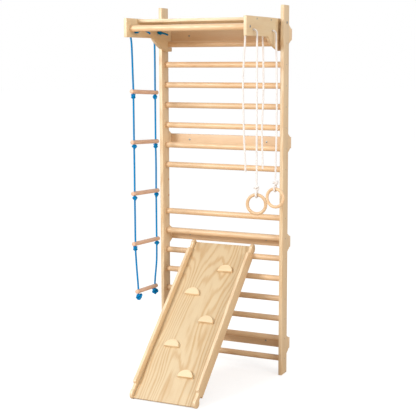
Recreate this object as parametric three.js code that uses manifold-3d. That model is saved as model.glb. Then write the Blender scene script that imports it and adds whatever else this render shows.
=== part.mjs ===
// Wall bars for children: a Swedish ladder with a pull-up unit, a rope ladder, a pair of
// gymnastic rings and a hook-on climbing slide.
// Millimetres. +X runs along the rungs, +Y points to the wall, +Z is up, the floor is z = 0.

import * as THREE from 'three';
import { mergeVertices } from 'three/addons/utils/BufferGeometryUtils.js';
import Module from 'manifold-3d';

const wasm = await Module();
wasm.setup();

const GAP = 0.3; // clearance kept between pieces that touch

// ---- wall bars ----
const HEIGHT = 2200;
const WIDTH = 814; // over the two posts
const POST_WIDTH = 22;
const POST_DEPTH = 85;
const EDGE_RADIUS = 3;
const LAP_BOTTOM = 1020; // half-lap that joins the lower and upper length of each post
const LAP_TOP = 1176;
const RUNG_DIAMETER = 35;
const RUNG_PITCH = 122.8;
const LOWEST_RUNG = 94;
const LOWER_RUNGS = 8;
const UPPER_RUNGS = 7;
const FIRST_UPPER_RUNG = 1244.6;
const RUNG_Y = 48;
const SOCKET_DEPTH = 10;
const BOARD_HEIGHT = 68;
const BOARD_THICKNESS = 20;
const BLOCK_DEPTH = 30;
const BLOCK_FRONT_HEIGHT = 108;
const BLOCK_BACK_HEIGHT = 74;
const BOARD_HEIGHTS = [2033, 1398, 801, 172]; // centre of each crossboard, top to bottom
const WALL_HOLE_X = 257;
const WALL_HOLE_DIAMETER = 8;

// ---- pull-up unit ----
const PANEL_THICKNESS = 18;
const PANEL_OUTER_X = 376;
const PANEL_FRONT_Y = -479;
const PANEL_TOP = 2123;
const PANEL_FRONT_BOTTOM = 2016;
const PANEL_LOW_BOTTOM = 1938;
const PANEL_NOSE_Y = 70;
const PANEL_JAW_Y = 80;
const PANEL_REBATE = 9; // depth the panels are let in on the outside, where they pass the posts
const PANEL_REBATE_Y = -52;
const PULLUP_BAR_DIAMETER = 36;
const PULLUP_BAR_Y = -430;
const PULLUP_BAR_Z = 2065;
const SHELF_FRONT_Y = -353;
const SHELF_DEPTH = 389;
const SHELF_THICKNESS = 18;
const SHELF_BOTTOM = 2101;
const ROPE_HOLE_DIAMETER = 14;
const ROPE_HOLE_Z = 2050;
const ROPE_HOLE_FRONT_Y = -385;
const ROPE_HOLE_REAR_Y = -102;
const BOLT_DIAMETER = 8;
const BOLT_Y = 48;
const BOLT_Z = 2100;

// ---- slide ----
const SLIDE_LENGTH = 1107;
const SLIDE_WIDTH = 410;
const SLIDE_CENTRE_X = -7;
const SIDE_THICKNESS = 17;
const SIDE_BOTTOM = -28; // heights on the slide are counted from the deck's underside
const RAIL_TOP = 51;
const NECK_TOP = 31;
const RAIL_END = 71; // where the raised rail stops, from each end of the slide
const DECK_THICKNESS = 12;
const DECK_FOOT = -8; // the deck's lower end, just past the sides' own end
const NOTCH_FROM_END = 52;
const NOTCH_RADIUS = RUNG_DIAMETER / 2 + 0.6;
const LOBE_CENTRE = [17, 8];
const LOBE_RADIUS = 28;
const HOLD_RADIUS = 46;
const HOLD_THICKNESS = 18;
const HOLD_COUNT = 5;
const FIRST_HOLD = 156.5; // flat edge of the lowest hold, up the slope from the foot
const HOLD_PITCH = 184.6;
const HOLD_MIDDLE_X = 4.5; // from the slide's own middle
const HOLD_OFFSET_X = 77; // to either side of that, in turn
const SLIDE_RUNG = 5; // the rung the slide hangs on, counted up from the lowest as 0

// ---- rope ladder ----
const ROPE_DIAMETER = 11;
const LADDER_X = -385.5;
const LADDER_RUNG_DIAMETER = 25;
const LADDER_RUNG_LENGTH = 318;
const LADDER_RUNG_HEIGHTS = [1700, 1405, 1103, 803, 511];
const LADDER_CENTRE_Y = -228;
const LADDER_ROPE_SPACING = 268;
const LADDER_TILTS = [0.049, 0.049, 0.049, 0.049, 0.089]; // fall of each rung towards the wall
const LAST_RUNG_TWIST = THREE.MathUtils.degToRad(6.7);
const LADDER_HOLE_DIAMETER = 13;
const KNOT_RADIUS = 13;
const END_KNOT_RADIUS = 17;

// ---- rings ----
const RING_X = 398;
const RING_OUTER_RADIUS = 62;
const RING_TUBE_RADIUS = 9;
const RING_CENTRE_Z = 1094;
const RING_TURN = [5.7, -6.8].map(THREE.MathUtils.degToRad); // about the vertical
const RING_Y = [ROPE_HOLE_FRONT_Y, ROPE_HOLE_REAR_Y];

// ---- rope routes, hand-laid points in the order [x, y, z] ----
const LADDER_ROPE_FRONT = [
  [-377, -385, 2050], [-381.2, -385, 2049.3], [-384.9, -385, 2047.4], [-387.9, -384.9, 2044.4],
  [-389.6, -384.8, 2040.7], [-389.9, -384.6, 2036.5], [-387, -384, 2022], [-383, -382, 1990],
  [-382.5, -376, 1900], [-384, -369, 1800], [-385.5, -362.6, 1729], [-385.5, -362, 1708.5],
  [-385.5, -362, 1677], [-386, -361, 1560], [-385.5, -362, 1440], [-385.5, -362, 1413],
  [-385.5, -362, 1380], [-386, -360.5, 1260], [-385.5, -362, 1136], [-385.5, -362, 1111],
  [-385.5, -362, 1078], [-386, -361, 956], [-385.5, -362, 839], [-385.5, -362, 811],
  [-385.5, -362, 778], [-380, -360, 664], [-371.5, -361, 560], [-369.9, -361.2, 522],
  [-369.9, -361.2, 490],
];
const LADDER_ROPE_REAR = [
  [-377, -102, 2050], [-381.2, -102, 2049.3], [-384.9, -102, 2047.4], [-387.9, -102, 2044.4],
  [-389.6, -101.9, 2040.7], [-389.9, -101.8, 2036.5], [-387, -101.7, 2022], [-383, -101, 1990],
  [-382.5, -99, 1900], [-384, -96.5, 1800], [-385.5, -94.2, 1715], [-385.5, -94, 1694],
  [-385.5, -94, 1661], [-385, -95, 1550], [-385.5, -94, 1426], [-385.5, -94, 1399],
  [-385.5, -94, 1366], [-385, -93, 1250], [-385.5, -94, 1124], [-385.5, -94, 1097],
  [-385.5, -94, 1064], [-385, -95, 946], [-385.5, -94, 824], [-385.5, -94, 797],
  [-385.5, -94, 764], [-387, -95, 660], [-398.5, -95, 545], [-401.1, -94.9, 505],
  [-401.1, -94.9, 470],
];
const LADDER_END_FRONT = [
  [-373, -385, 2050], [-366, -385, 2050], [-357, -385, 2049.8], [-344, -385, 2049],
  [-330, -384.6, 2051.5], [-312, -384, 2055], [-294, -383.4, 2054], [-276, -383, 2046.5],
  [-260, -383, 2036.5],
];
const LADDER_END_REAR = [
  [-373, -102, 2050], [-366, -102, 2050], [-357, -102, 2049.8], [-344, -102, 2049],
  [-332, -101.6, 2047.4], [-320, -101.2, 2044.6], [-306, -101, 2040.4], [-292, -101, 2034.8],
];
const RING_BOWS = [0, 7]; // how far each strand bows outwards at its middle
const RING_STRAND = [ // shared by both rings, y is counted from the rope hole's
  [377, 0, 2050], [382.4, 0, 2049.3], [387.5, 0, 2047.2], [391.8, 0, 2043.8], [395.2, 0, 2039.5],
  [397.3, 0, 2034.4], [398, 0, 2029], [398, 0, 2012], [398, 0, 1990],
  [398, 0.4, 1900], [398, 0.8, 1780], [398, 0.2, 1640], [398, -0.5, 1500], [398, -0.6, 1360],
  [398, -0.2, 1240], [398, 0, 1180], [398, 0, 1161.5],
];
const RING_TAILS = [
  [
    [373, -385, 2050], [366, -385, 2050], [357, -385, 2050], [348, -385, 2049.8], [341, -385, 2048.4],
    [335.4, -385, 2045], [331.8, -385, 2040], [330.4, -385.2, 2034], [330, -385.4, 2026],
    [328.5, -386, 2000], [324, -386.5, 1930], [319, -387, 1850], [316.5, -387, 1760],
    [317.5, -386, 1640], [320.5, -385, 1520], [323, -384.5, 1440], [326, -384, 1380],
    [329, -383.5, 1325], [330, -383, 1270],
  ],
  [
    [373, -102, 2050], [366, -102, 2050], [357, -102, 2050], [344, -102, 2050], [336, -102, 2049.9],
    [328.5, -102, 2047.6], [322.4, -102, 2043], [318.8, -102.2, 2036.6], [317.5, -102.4, 2028],
    [318, -102.8, 2000], [320, -103, 1920], [322, -103, 1820], [322.5, -103, 1716],
    [320, -102.6, 1620], [316, -102.4, 1540], [314.5, -102.2, 1470], [316, -102, 1390],
    [318.5, -102, 1320], [319, -102, 1259],
  ],
];

// ---- materials ----
const wood = (color, roughness) => new THREE.MeshStandardMaterial({ color, roughness, metalness: 0 });
const PINE = wood(0xecd9b7, 0.55);
const BEECH_RUNG = wood(0xecc593, 0.45);
const BOARD_WOOD = wood(0xe0bf93, 0.6);
const PLYWOOD = wood(0xe2c798, 0.5);
const HOLD_WOOD = wood(0xf3dfc0, 0.5);
const LADDER_WOOD = wood(0xd9a98c, 0.55);
const BLUE_ROPE = new THREE.MeshStandardMaterial({ color: 0x0a87c3, roughness: 0.8, metalness: 0 });
const WHITE_ROPE = new THREE.MeshStandardMaterial({ color: 0xf0ebeb, roughness: 0.85, metalness: 0 });
const STEEL = new THREE.MeshStandardMaterial({ color: 0xa9adb0, roughness: 0.35, metalness: 1 });

// ---- geometry helpers ----
function toSolid(geometry) {
  const bare = geometry.clone();
  bare.deleteAttribute('normal');
  bare.deleteAttribute('uv');
  const merged = mergeVertices(bare, 1e-4);
  return new wasm.Manifold(new wasm.Mesh({
    numProp: 3,
    vertProperties: new Float32Array(merged.attributes.position.array),
    triVerts: new Uint32Array(merged.index.array),
  }));
}

function toGeometry(solid) {
  const mesh = solid.getMesh();
  const geometry = new THREE.BufferGeometry();
  geometry.setAttribute('position', new THREE.BufferAttribute(mesh.vertProperties, 3));
  geometry.setIndex(new THREE.BufferAttribute(mesh.triVerts, 1));
  geometry.computeVertexNormals();
  return geometry;
}

function cut(geometry, ...tools) {
  return toGeometry(tools.reduce((solid, tool) => solid.subtract(toSolid(tool)), toSolid(geometry)));
}

function join(geometry, ...others) {
  return toGeometry(others.reduce((solid, other) => solid.add(toSolid(other)), toSolid(geometry)));
}

function block(x0, x1, y0, y1, z0, z1) {
  const box = new THREE.BoxGeometry(x1 - x0, y1 - y0, z1 - z0);
  return box.translate((x0 + x1) / 2, (y0 + y1) / 2, (z0 + z1) / 2);
}

function rodX(diameter, x0, x1, y, z, sides = 16) {
  const rod = new THREE.CylinderGeometry(diameter / 2, diameter / 2, x1 - x0, sides);
  return rod.rotateZ(Math.PI / 2).translate((x0 + x1) / 2, y, z);
}

function rodY(diameter, y0, y1, x, z, sides = 12) {
  return new THREE.CylinderGeometry(diameter / 2, diameter / 2, y1 - y0, sides).translate(x, (y0 + y1) / 2, z);
}

function rodZ(diameter, x, y, z0, z1, sides = 10) {
  const rod = new THREE.CylinderGeometry(diameter / 2, diameter / 2, z1 - z0, sides);
  return rod.rotateX(Math.PI / 2).translate(x, y, (z0 + z1) / 2);
}

function roundedRect(x0, y0, x1, y1, radius) {
  const shape = new THREE.Shape();
  shape.moveTo(x0 + radius, y0);
  shape.lineTo(x1 - radius, y0);
  shape.absarc(x1 - radius, y0 + radius, radius, -Math.PI / 2, 0);
  shape.lineTo(x1, y1 - radius);
  shape.absarc(x1 - radius, y1 - radius, radius, 0, Math.PI / 2);
  shape.lineTo(x0 + radius, y1);
  shape.absarc(x0 + radius, y1 - radius, radius, Math.PI / 2, Math.PI);
  shape.lineTo(x0, y0 + radius);
  shape.absarc(x0 + radius, y0 + radius, radius, Math.PI, 1.5 * Math.PI);
  return shape;
}

// a shape drawn in (y, z), extruded along x from x0 to x1
function extrudeX(shape, x0, x1, curveSegments = 1) {
  const geometry = new THREE.ExtrudeGeometry(shape, { depth: x1 - x0, bevelEnabled: false, curveSegments });
  const axes = new THREE.Matrix4().makeBasis(
    new THREE.Vector3(0, 1, 0), new THREE.Vector3(0, 0, 1), new THREE.Vector3(1, 0, 0));
  return geometry.applyMatrix4(axes).translate(x0, 0, 0);
}

function extrudeZ(shape, z0, z1, curveSegments = 1) {
  const geometry = new THREE.ExtrudeGeometry(shape, { depth: z1 - z0, bevelEnabled: false, curveSegments });
  return geometry.translate(0, 0, z0);
}

function ropeTube(points, steps, sides = 8) {
  const curve = new THREE.CatmullRomCurve3(points.map((p) => new THREE.Vector3(...p)), false, 'centripetal');
  const section = new THREE.Shape();
  for (let i = 0; i < sides; i += 1) {
    const angle = (2 * Math.PI * i) / sides;
    const place = [(ROPE_DIAMETER / 2) * Math.cos(angle), (ROPE_DIAMETER / 2) * Math.sin(angle)];
    if (i === 0) section.moveTo(...place);
    else section.lineTo(...place);
  }
  section.closePath();
  return new THREE.ExtrudeGeometry(section, { steps, extrudePath: curve, bevelEnabled: false });
}

function ball(radius, x, y, z) {
  return new THREE.SphereGeometry(radius, 8, 5).translate(x, y, z);
}

const product = new THREE.Group();

function add(parent, name, geometry, material) {
  const mesh = new THREE.Mesh(geometry, material);
  mesh.name = name;
  parent.add(mesh);
  return mesh;
}

// ---- rungs ----
const rungHeights = [];
for (let i = 0; i < LOWER_RUNGS; i += 1) rungHeights.push(LOWEST_RUNG + i * RUNG_PITCH);
for (let i = 0; i < UPPER_RUNGS; i += 1) rungHeights.push(FIRST_UPPER_RUNG + i * RUNG_PITCH);
const postInnerX = WIDTH / 2 - POST_WIDTH;
const rungEndX = postInnerX + SOCKET_DEPTH - GAP;

function addRungs(parent) {
  rungHeights.forEach((z, i) => {
    const name = `rung_${String(i + 1).padStart(2, '0')}`;
    add(parent, name, rodX(RUNG_DIAMETER, -rungEndX, rungEndX, RUNG_Y, z), BEECH_RUNG);
  });
}

// ---- posts ----
// side is -1 for the left post and +1 for the right one
function postLength(side, z0, z1, lapCut) {
  const centre = side * (WIDTH - POST_WIDTH) / 2;
  const section = roundedRect(centre - POST_WIDTH / 2, 0, centre + POST_WIDTH / 2, POST_DEPTH, EDGE_RADIUS);
  const sockets = rungHeights
    .filter((z) => z > z0 && z < z1)
    .map((z) => {
      const reach = [side * (postInnerX - 1), side * (postInnerX + SOCKET_DEPTH)].sort((a, b) => a - b);
      return rodX(RUNG_DIAMETER + 2 * GAP, ...reach, RUNG_Y, z);
    });
  return cut(extrudeZ(section, z0, z1), lapCut, ...sockets);
}

function addPost(parent, side, label) {
  const middle = side * (WIDTH - POST_WIDTH) / 2;
  const inner = [middle + side * GAP / 2, side * (postInnerX - 1)].sort((a, b) => a - b);
  const outer = [middle - side * GAP / 2, side * (WIDTH / 2 + 1)].sort((a, b) => a - b);
  const outerCut = block(...outer, -1, POST_DEPTH + 1, LAP_BOTTOM, LAP_TOP + 1);
  const innerCut = block(...inner, -1, POST_DEPTH + 1, LAP_BOTTOM - 1, LAP_TOP);
  add(parent, `post_${label}_lower`, postLength(side, 0, LAP_TOP - GAP, outerCut), PINE);
  const upper = postLength(side, LAP_BOTTOM + GAP, HEIGHT, innerCut);
  const boltReach = [side * (postInnerX - 1), side * (WIDTH / 2 + 1)].sort((a, b) => a - b);
  const boltHole = rodX(BOLT_DIAMETER + 2 * GAP, ...boltReach, BOLT_Y, BOLT_Z, 10);
  add(parent, `post_${label}_upper`, cut(upper, boltHole), PINE);
}

// ---- crossboards and their standoff blocks ----
function addBoard(parent, number, z) {
  const y0 = POST_DEPTH + BLOCK_DEPTH;
  const section = roundedRect(y0, z - BOARD_HEIGHT / 2, y0 + BOARD_THICKNESS, z + BOARD_HEIGHT / 2, EDGE_RADIUS);
  const holes = [-WALL_HOLE_X, WALL_HOLE_X].map(
    (x) => rodY(WALL_HOLE_DIAMETER, y0 - 1, y0 + BOARD_THICKNESS + 1, x, z));
  add(parent, `crossboard_${number}`, cut(extrudeX(section, -WIDTH / 2, WIDTH / 2), ...holes), BOARD_WOOD);
  for (const [label, side] of [['left', -1], ['right', 1]]) {
    const shape = new THREE.Shape();
    shape.moveTo(POST_DEPTH + GAP, z - BLOCK_FRONT_HEIGHT / 2);
    shape.lineTo(y0 - GAP, z - BLOCK_BACK_HEIGHT / 2);
    shape.lineTo(y0 - GAP, z + BLOCK_BACK_HEIGHT / 2);
    shape.lineTo(POST_DEPTH + GAP, z + BLOCK_FRONT_HEIGHT / 2);
    shape.closePath();
    const reach = [side * postInnerX, side * WIDTH / 2].sort((a, b) => a - b);
    add(parent, `standoff_${number}_${label}`, extrudeX(shape, ...reach), PINE);
  }
}

// ---- pull-up unit ----
const topRung = rungHeights[rungHeights.length - 1];
const panelInnerX = PANEL_OUTER_X - PANEL_THICKNESS;

function circleHole(y, z, diameter) {
  const hole = new THREE.Path();
  hole.absarc(y, z, diameter / 2, 0, 2 * Math.PI, true);
  return hole;
}

// side panel: a flat plate whose rear slot holds the top rung
function panelShape() {
  const slot = RUNG_DIAMETER / 2 + GAP + 0.2;
  const corner = 14;
  const shape = new THREE.Shape();
  shape.moveTo(PANEL_FRONT_Y + EDGE_RADIUS, PANEL_FRONT_BOTTOM);
  shape.lineTo(-165, PANEL_FRONT_BOTTOM);
  shape.quadraticCurveTo(-90, 1955, 18, PANEL_LOW_BOTTOM);
  shape.lineTo(PANEL_JAW_Y - EDGE_RADIUS, PANEL_LOW_BOTTOM);
  shape.lineTo(PANEL_JAW_Y, PANEL_LOW_BOTTOM + EDGE_RADIUS);
  shape.lineTo(PANEL_JAW_Y, topRung - slot);
  shape.lineTo(RUNG_Y, topRung - slot);
  shape.absarc(RUNG_Y, topRung, slot, 1.5 * Math.PI, Math.PI / 2, true);
  shape.lineTo(PANEL_NOSE_Y - corner, topRung + slot);
  shape.absarc(PANEL_NOSE_Y - corner, topRung + slot + corner, corner, -Math.PI / 2, 0);
  shape.lineTo(PANEL_NOSE_Y, PANEL_TOP - EDGE_RADIUS);
  shape.lineTo(PANEL_NOSE_Y - EDGE_RADIUS, PANEL_TOP);
  shape.lineTo(PANEL_FRONT_Y + EDGE_RADIUS, PANEL_TOP);
  shape.lineTo(PANEL_FRONT_Y, PANEL_TOP - EDGE_RADIUS);
  shape.lineTo(PANEL_FRONT_Y, PANEL_FRONT_BOTTOM + EDGE_RADIUS);
  shape.closePath();
  shape.holes.push(circleHole(ROPE_HOLE_FRONT_Y, ROPE_HOLE_Z, ROPE_HOLE_DIAMETER));
  shape.holes.push(circleHole(ROPE_HOLE_REAR_Y, ROPE_HOLE_Z, ROPE_HOLE_DIAMETER));
  shape.holes.push(circleHole(BOLT_Y, BOLT_Z, BOLT_DIAMETER + 4 * GAP));
  return shape;
}

// bolt along x from outside the post, with the spacer that fills the gap to the panel
function unitBolt(side) {
  const span = (a, b) => [side * a, side * b].sort((p, q) => p - q);
  const shank = rodX(BOLT_DIAMETER, ...span(panelInnerX - 6, WIDTH / 2 + 2), BOLT_Y, BOLT_Z, 10);
  const head = rodX(16, ...span(WIDTH / 2 + GAP, WIDTH / 2 + 4), BOLT_Y, BOLT_Z, 10);
  const spacerEnd = PANEL_OUTER_X - PANEL_REBATE + GAP;
  const spacer = rodX(20, ...span(spacerEnd, postInnerX - GAP), BOLT_Y, BOLT_Z, 10);
  const nut = rodX(15, ...span(panelInnerX - 7, panelInnerX - GAP), BOLT_Y, BOLT_Z, 6);
  return join(shank, head, spacer, nut);
}

// the panel is let in on its outside where it passes the post
function sidePanel(side) {
  const reach = [side * panelInnerX, side * PANEL_OUTER_X].sort((a, b) => a - b);
  const rebate = [side * (PANEL_OUTER_X - PANEL_REBATE), side * (PANEL_OUTER_X + 1)].sort((a, b) => a - b);
  return cut(
    extrudeX(panelShape(), ...reach, 5),
    block(...rebate, PANEL_REBATE_Y, PANEL_JAW_Y + 1, PANEL_LOW_BOTTOM - 1, PANEL_TOP + 1));
}

function addPullupUnit(parent) {
  add(parent, 'pullup_panel_left', sidePanel(-1), PLYWOOD);
  add(parent, 'pullup_panel_right', sidePanel(1), PLYWOOD);
  const reach = panelInnerX - GAP;
  const bar = rodX(PULLUP_BAR_DIAMETER, -reach, reach, PULLUP_BAR_Y, PULLUP_BAR_Z);
  add(parent, 'pullup_bar', bar, BEECH_RUNG);
  const shelf = roundedRect(SHELF_FRONT_Y, SHELF_BOTTOM, SHELF_FRONT_Y + SHELF_DEPTH,
    SHELF_BOTTOM + SHELF_THICKNESS, EDGE_RADIUS);
  add(parent, 'pullup_top_board', extrudeX(shelf, -reach, reach), PLYWOOD);
  add(parent, 'unit_bolt_left', unitBolt(-1), STEEL);
  add(parent, 'unit_bolt_right', unitBolt(1), STEEL);
}

// ---- slide ----
// drawn in its own plane: y runs up the slope from the foot, z is square to the deck
const slideRungZ = rungHeights[SLIDE_RUNG];
const notchY = SLIDE_LENGTH - NOTCH_FROM_END;
const notchZ = -(RUNG_DIAMETER / 2 + GAP);
// the slope at which the rung sits in the upper notch and the round foot just meets the floor
const alongLobe = notchY - LOBE_CENTRE[0];
const acrossLobe = LOBE_CENTRE[1] - notchZ;
const slope = Math.asin((slideRungZ - LOBE_RADIUS) / Math.hypot(alongLobe, acrossLobe))
  + Math.atan2(acrossLobe, alongLobe);

// the points of one end's outline run from the hook's tip round the lobe to the rail's top
function sideShape() {
  const [lobeY, lobeZ] = LOBE_CENTRE;
  const between = Math.hypot(NOTCH_FROM_END - lobeY, lobeZ - notchZ);
  const towardsLobe = Math.atan2(lobeZ - notchZ, lobeY - NOTCH_FROM_END);
  const cosTip = (NOTCH_RADIUS ** 2 + between ** 2 - LOBE_RADIUS ** 2) / (2 * NOTCH_RADIUS * between);
  const tip = towardsLobe + Math.acos(cosTip); // where the notch meets the lobe, seen from the notch
  const tipY = NOTCH_FROM_END + NOTCH_RADIUS * Math.cos(tip);
  const tipZ = notchZ + NOTCH_RADIUS * Math.sin(tip);
  const lobeStart = Math.atan2(tipZ - lobeZ, tipY - lobeY);
  const neckAngle = Math.asin((NECK_TOP - lobeZ) / LOBE_RADIUS);
  const far = SLIDE_LENGTH;
  const shape = new THREE.Shape();
  shape.moveTo(NOTCH_FROM_END + NOTCH_RADIUS, SIDE_BOTTOM);
  shape.lineTo(far - NOTCH_FROM_END - NOTCH_RADIUS, SIDE_BOTTOM);
  shape.lineTo(far - NOTCH_FROM_END - NOTCH_RADIUS, notchZ);
  shape.absarc(far - NOTCH_FROM_END, notchZ, NOTCH_RADIUS, Math.PI, Math.PI - tip, true);
  shape.absarc(far - lobeY, lobeZ, LOBE_RADIUS, Math.PI - lobeStart - 2 * Math.PI, Math.PI - neckAngle - 0.0001);
  shape.lineTo(far - RAIL_END + 12, NECK_TOP);
  shape.quadraticCurveTo(far - RAIL_END, NECK_TOP, far - RAIL_END, NECK_TOP + 12);
  shape.quadraticCurveTo(far - RAIL_END, RAIL_TOP, far - RAIL_END - 12, RAIL_TOP);
  shape.lineTo(RAIL_END + 12, RAIL_TOP);
  shape.quadraticCurveTo(RAIL_END, RAIL_TOP, RAIL_END, NECK_TOP + 12);
  shape.quadraticCurveTo(RAIL_END, NECK_TOP, RAIL_END - 12, NECK_TOP);
  shape.absarc(lobeY, lobeZ, LOBE_RADIUS, neckAngle, lobeStart + 2 * Math.PI);
  shape.absarc(NOTCH_FROM_END, notchZ, NOTCH_RADIUS, tip, 0, true);
  shape.closePath();
  return shape;
}

function holdShape() {
  const shape = new THREE.Shape();
  shape.absarc(0, 0, HOLD_RADIUS, 0, Math.PI);
  shape.closePath();
  return shape;
}

function addSlide(parent) {
  const slide = new THREE.Group();
  slide.position.set(
    SLIDE_CENTRE_X,
    RUNG_Y - notchY * Math.cos(slope) + notchZ * Math.sin(slope),
    slideRungZ - notchY * Math.sin(slope) - notchZ * Math.cos(slope));
  slide.rotation.x = slope;
  parent.add(slide);
  const half = SLIDE_WIDTH / 2;
  add(slide, 'slide_side_left', extrudeX(sideShape(), -half, -half + SIDE_THICKNESS, 6), PLYWOOD);
  add(slide, 'slide_side_right', extrudeX(sideShape(), half - SIDE_THICKNESS, half, 6), PLYWOOD);
  const deckHalf = half - SIDE_THICKNESS - GAP;
  const deck = roundedRect(DECK_FOOT, 0, SLIDE_LENGTH, DECK_THICKNESS, DECK_THICKNESS / 2 - 0.1);
  add(slide, 'slide_deck', extrudeX(deck, -deckHalf, deckHalf), PLYWOOD);
  for (let i = 0; i < HOLD_COUNT; i += 1) {
    const geometry = new THREE.ExtrudeGeometry(holdShape(), {
      depth: HOLD_THICKNESS, bevelEnabled: false, curveSegments: 7,
    });
    const hold = add(slide, `slide_hold_${i + 1}`, geometry, HOLD_WOOD);
    const side = i % 2 === 0 ? 1 : -1;
    const x = HOLD_MIDDLE_X + side * HOLD_OFFSET_X;
    hold.position.set(x, FIRST_HOLD + i * HOLD_PITCH, DECK_THICKNESS + GAP);
  }
}

// ---- rope ladder ----
function ladderRung(z, tilt, twist) {
  const rung = new THREE.CylinderGeometry(
    LADDER_RUNG_DIAMETER / 2, LADDER_RUNG_DIAMETER / 2, LADDER_RUNG_LENGTH, 12);
  rung.rotateX(-tilt).rotateZ(twist).translate(LADDER_X, LADDER_CENTRE_Y, z);
  const reach = LADDER_ROPE_SPACING / 2;
  const holes = [-1, 1].map((end) => rodZ(
    LADDER_HOLE_DIAMETER,
    LADDER_X - end * reach * Math.sin(twist),
    LADDER_CENTRE_Y + end * reach * Math.cos(twist),
    z - 40, z + 40));
  return cut(rung, ...holes);
}

// the rope runs through every rung and is knotted under it
function ladderRope(points, end) {
  const knots = [];
  LADDER_RUNG_HEIGHTS.forEach((z, i) => {
    const last = i === LADDER_RUNG_HEIGHTS.length - 1;
    const radius = last ? END_KNOT_RADIUS : KNOT_RADIUS;
    const twist = last ? LAST_RUNG_TWIST : 0;
    const rise = -end * (LADDER_ROPE_SPACING / 2) * Math.tan(LADDER_TILTS[i]);
    const drop = LADDER_RUNG_DIAMETER / 2 + radius + 0.8;
    knots.push(ball(
      radius,
      LADDER_X - end * (LADDER_ROPE_SPACING / 2) * Math.sin(twist),
      LADDER_CENTRE_Y + end * (LADDER_ROPE_SPACING / 2) * Math.cos(twist),
      z + rise - drop));
  });
  return join(ropeTube(points, 54), ...knots);
}

function addRopeLadder(parent) {
  LADDER_RUNG_HEIGHTS.forEach((z, i) => {
    const twist = i === LADDER_RUNG_HEIGHTS.length - 1 ? LAST_RUNG_TWIST : 0;
    add(parent, `ladder_rung_${i + 1}`, ladderRung(z, LADDER_TILTS[i], twist), LADDER_WOOD);
  });
  add(parent, 'ladder_rope_front', ladderRope(LADDER_ROPE_FRONT, -1), BLUE_ROPE);
  add(parent, 'ladder_rope_rear', ladderRope(LADDER_ROPE_REAR, 1), BLUE_ROPE);
  // the rope ends, knotted behind the left panel
  const knotX = -panelInnerX + KNOT_RADIUS + 0.8;
  add(parent, 'ladder_rope_end_front', join(
    ropeTube(LADDER_END_FRONT, 6), ball(KNOT_RADIUS, knotX, ROPE_HOLE_FRONT_Y, ROPE_HOLE_Z - 1)), BLUE_ROPE);
  add(parent, 'ladder_rope_end_rear', join(
    ropeTube(LADDER_END_REAR, 4), ball(KNOT_RADIUS, knotX, ROPE_HOLE_REAR_Y, ROPE_HOLE_Z - 1)), BLUE_ROPE);
}

// ---- rings ----
function addRing(parent, index) {
  const majorRadius = RING_OUTER_RADIUS - RING_TUBE_RADIUS;
  const ring = new THREE.TorusGeometry(majorRadius, RING_TUBE_RADIUS, 10, 28).rotateX(Math.PI / 2);
  const mesh = add(parent, `ring_${index + 1}`, ring, BEECH_RUNG);
  mesh.position.set(RING_X, RING_Y[index], RING_CENTRE_Z);
  mesh.rotation.set(0, 0, RING_TURN[index]);
  mesh.geometry = ring;

  const strandPoints = RING_STRAND.map(([x, y, z]) => {
    const share = THREE.MathUtils.clamp((2012 - z) / (2012 - 1180), 0, 1);
    return [x + RING_BOWS[index] * Math.sin(Math.PI * share), RING_Y[index] + y, z];
  });
  const loopRadius = RING_TUBE_RADIUS + 0.4 + ROPE_DIAMETER / 2;
  const loop = new THREE.TorusGeometry(loopRadius, ROPE_DIAMETER / 2, 8, 12)
    .rotateY(Math.PI / 2)
    .rotateZ(RING_TURN[index])
    .translate(RING_X, RING_Y[index], RING_CENTRE_Z + majorRadius);
  add(parent, `ring_rope_${index + 1}`, join(ropeTube(strandPoints, 40), loop), WHITE_ROPE);

  const knotX = panelInnerX - KNOT_RADIUS - 0.8;
  const knot = ball(KNOT_RADIUS, knotX, RING_Y[index], ROPE_HOLE_Z);
  add(parent, `ring_rope_tail_${index + 1}`, join(ropeTube(RING_TAILS[index], 36), knot), WHITE_ROPE);
}

addRungs(product);
addPost(product, -1, 'left');
addPost(product, 1, 'right');
BOARD_HEIGHTS.forEach((z, i) => addBoard(product, i + 1, z));
addPullupUnit(product);
addSlide(product);
addRopeLadder(product);
addRing(product, 0);
addRing(product, 1);

// the origin is the centre of the underside of the box round everything but the ropes
product.updateMatrixWorld(true);
const solidBox = new THREE.Box3();
product.traverse((item) => {
  if (item.isMesh && !item.name.includes('rope')) solidBox.expandByObject(item, true);
});
const centre = solidBox.getCenter(new THREE.Vector3());
product.position.set(-centre.x, -centre.y, -solidBox.min.z);

export default product;
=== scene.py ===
"""The looks of a children's set of wall bars: a Swedish ladder with a pull-up unit, a rope ladder,
gymnastic rings and a climbing slide hooked over a rung.

Everything is placed in the CAD frame, in metres. The sizes below are the CAD's own, in millimetres
from the point on the floor under the middle of the posts' front faces; at() turns them into the frame.
"""

import math

import bmesh
import bpy
from mathutils import Matrix, Vector


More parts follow.
